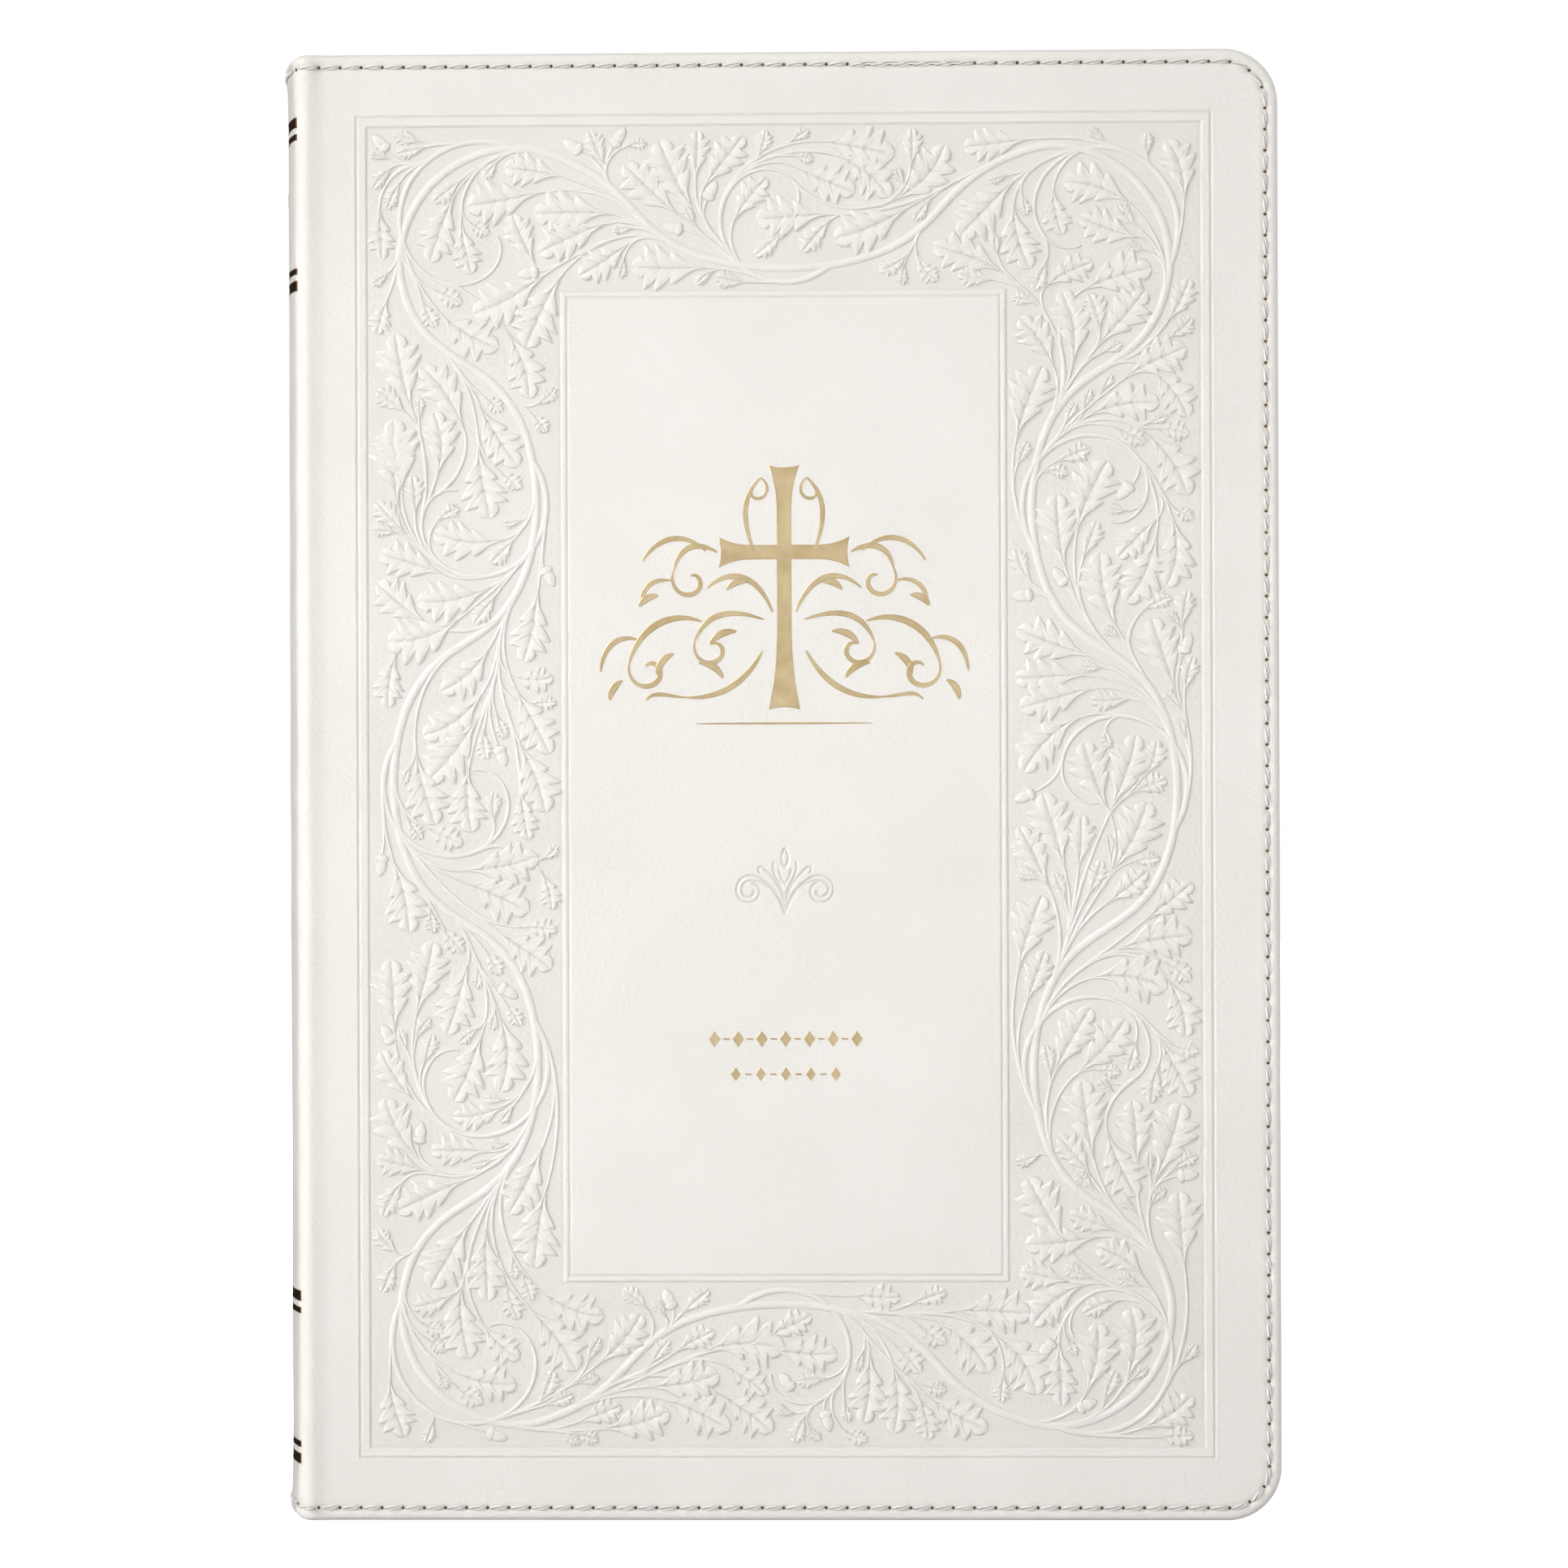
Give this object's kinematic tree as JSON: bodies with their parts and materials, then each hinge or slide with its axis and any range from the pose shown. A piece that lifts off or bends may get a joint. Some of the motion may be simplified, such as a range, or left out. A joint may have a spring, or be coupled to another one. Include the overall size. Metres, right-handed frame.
{
  "type": "bible",
  "caption": "Closed hardback bible in an ivory stitched imitation-leather case with gold cross foil and a blind-tooled oak-leaf border; both covers open and lift groups of leaves.",
  "frame": {"origin": "middle of the bottom of the closed book's box, standing upright on its tail", "axes": "+X from the spine to the fore-edge, -Y out of the front cover, +Z from tail to head"},
  "size_m": [0.1544, 0.035, 0.229],
  "materials": {
    "case_leather": "ivory-white fine-grained imitation leather, semi-matte, blind tooled",
    "board": "dense grey-brown binder's board and kraft lining",
    "paper": "thin smooth bible paper",
    "endpaper": "plain heavier cream endpaper",
    "gold_foil": "hot-stamped satin gold foil",
    "thread": "twisted off-white sewing thread",
    "binding_cloth": "open-weave mull and woven tape",
    "band_cloth": "woven two-colour head and tail band"
  },
  "bodies": {
    "book_block": {"spine_skin": "case_leather", "spine_inlay": "board", "spine_liner": "board", "mull_cloth": "binding_cloth", "sewing_tapes": "binding_cloth", "spine_stitching": "thread", "spine_foil": "gold_foil", "head_band": "band_cloth", "tail_band": "band_cloth", "front_leaf_folds": "paper", "back_leaf_folds": "paper", "section_01": "paper", "section_02": "paper", "section_03": "paper", "section_04": "paper", "section_05": "paper", "section_06": "paper", "section_07": "paper", "section_08": "paper", "section_09": "paper", "section_10": "paper", "section_11": "paper", "section_12": "paper", "section_13": "paper", "section_14": "paper"},
    "front_cover": {"front_cover_skin": "case_leather", "front_board": "board", "front_pastedown": "endpaper", "front_stitching": "thread", "title_foil": "gold_foil"},
    "back_cover": {"back_cover_skin": "case_leather", "back_board": "board", "back_pastedown": "endpaper", "back_stitching": "thread"},
    "front_endleaf": {"front_flyleaf": "endpaper"},
    "front_turn_1": {"front_leaves_1": "paper"},
    "front_turn_2": {"front_leaves_2": "paper"},
    "front_turn_3": {"front_leaves_3": "paper"},
    "back_endleaf": {"back_flyleaf": "endpaper"},
    "back_turn_1": {"back_leaves_1": "paper"},
    "back_turn_2": {"back_leaves_2": "paper"}
  },
  "joints": [
    {"name": "front_cover_hinge", "type": "hinge", "parent": "book_block", "child": "front_cover", "pos_m": [-0.0724, -0.01765, 0.1145], "axis": [0, 0, -1], "range_deg": [0, 179]},
    {"name": "back_cover_hinge", "type": "hinge", "parent": "book_block", "child": "back_cover", "pos_m": [-0.0724, 0.01765, 0.1145], "axis": [0, 0, 1], "range_deg": [0, 179]},
    {"name": "front_endleaf_hinge", "type": "hinge", "parent": "book_block", "child": "front_endleaf", "pos_m": [-0.0724, -0.01765, 0.1145], "axis": [0, 0, -1], "range_deg": [0, 170.05]},
    {"name": "front_turn_1_hinge", "type": "hinge", "parent": "book_block", "child": "front_turn_1", "pos_m": [-0.0724, -0.01765, 0.1145], "axis": [0, 0, -1], "range_deg": [0, 157.53]},
    {"name": "front_turn_2_hinge", "type": "hinge", "parent": "book_block", "child": "front_turn_2", "pos_m": [-0.0724, -0.01765, 0.1145], "axis": [0, 0, -1], "range_deg": [0, 141.41]},
    {"name": "front_turn_3_hinge", "type": "hinge", "parent": "book_block", "child": "front_turn_3", "pos_m": [-0.0724, -0.01765, 0.1145], "axis": [0, 0, -1], "range_deg": [0, 121.73]},
    {"name": "back_endleaf_hinge", "type": "hinge", "parent": "book_block", "child": "back_endleaf", "pos_m": [-0.0724, 0.01765, 0.1145], "axis": [0, 0, 1], "range_deg": [0, 170.05]},
    {"name": "back_turn_1_hinge", "type": "hinge", "parent": "book_block", "child": "back_turn_1", "pos_m": [-0.0724, 0.01765, 0.1145], "axis": [0, 0, 1], "range_deg": [0, 155.73]},
    {"name": "back_turn_2_hinge", "type": "hinge", "parent": "book_block", "child": "back_turn_2", "pos_m": [-0.0724, 0.01765, 0.1145], "axis": [0, 0, 1], "range_deg": [0, 136.04]}
  ],
  "couplings": [
    {"joint": "front_endleaf_hinge", "follows": "front_cover_hinge", "ratio": 0.95},
    {"joint": "front_turn_1_hinge", "follows": "front_cover_hinge", "ratio": 0.88},
    {"joint": "front_turn_2_hinge", "follows": "front_cover_hinge", "ratio": 0.79},
    {"joint": "front_turn_3_hinge", "follows": "front_cover_hinge", "ratio": 0.68},
    {"joint": "back_endleaf_hinge", "follows": "back_cover_hinge", "ratio": 0.95},
    {"joint": "back_turn_1_hinge", "follows": "back_cover_hinge", "ratio": 0.87},
    {"joint": "back_turn_2_hinge", "follows": "back_cover_hinge", "ratio": 0.76}
  ]
}
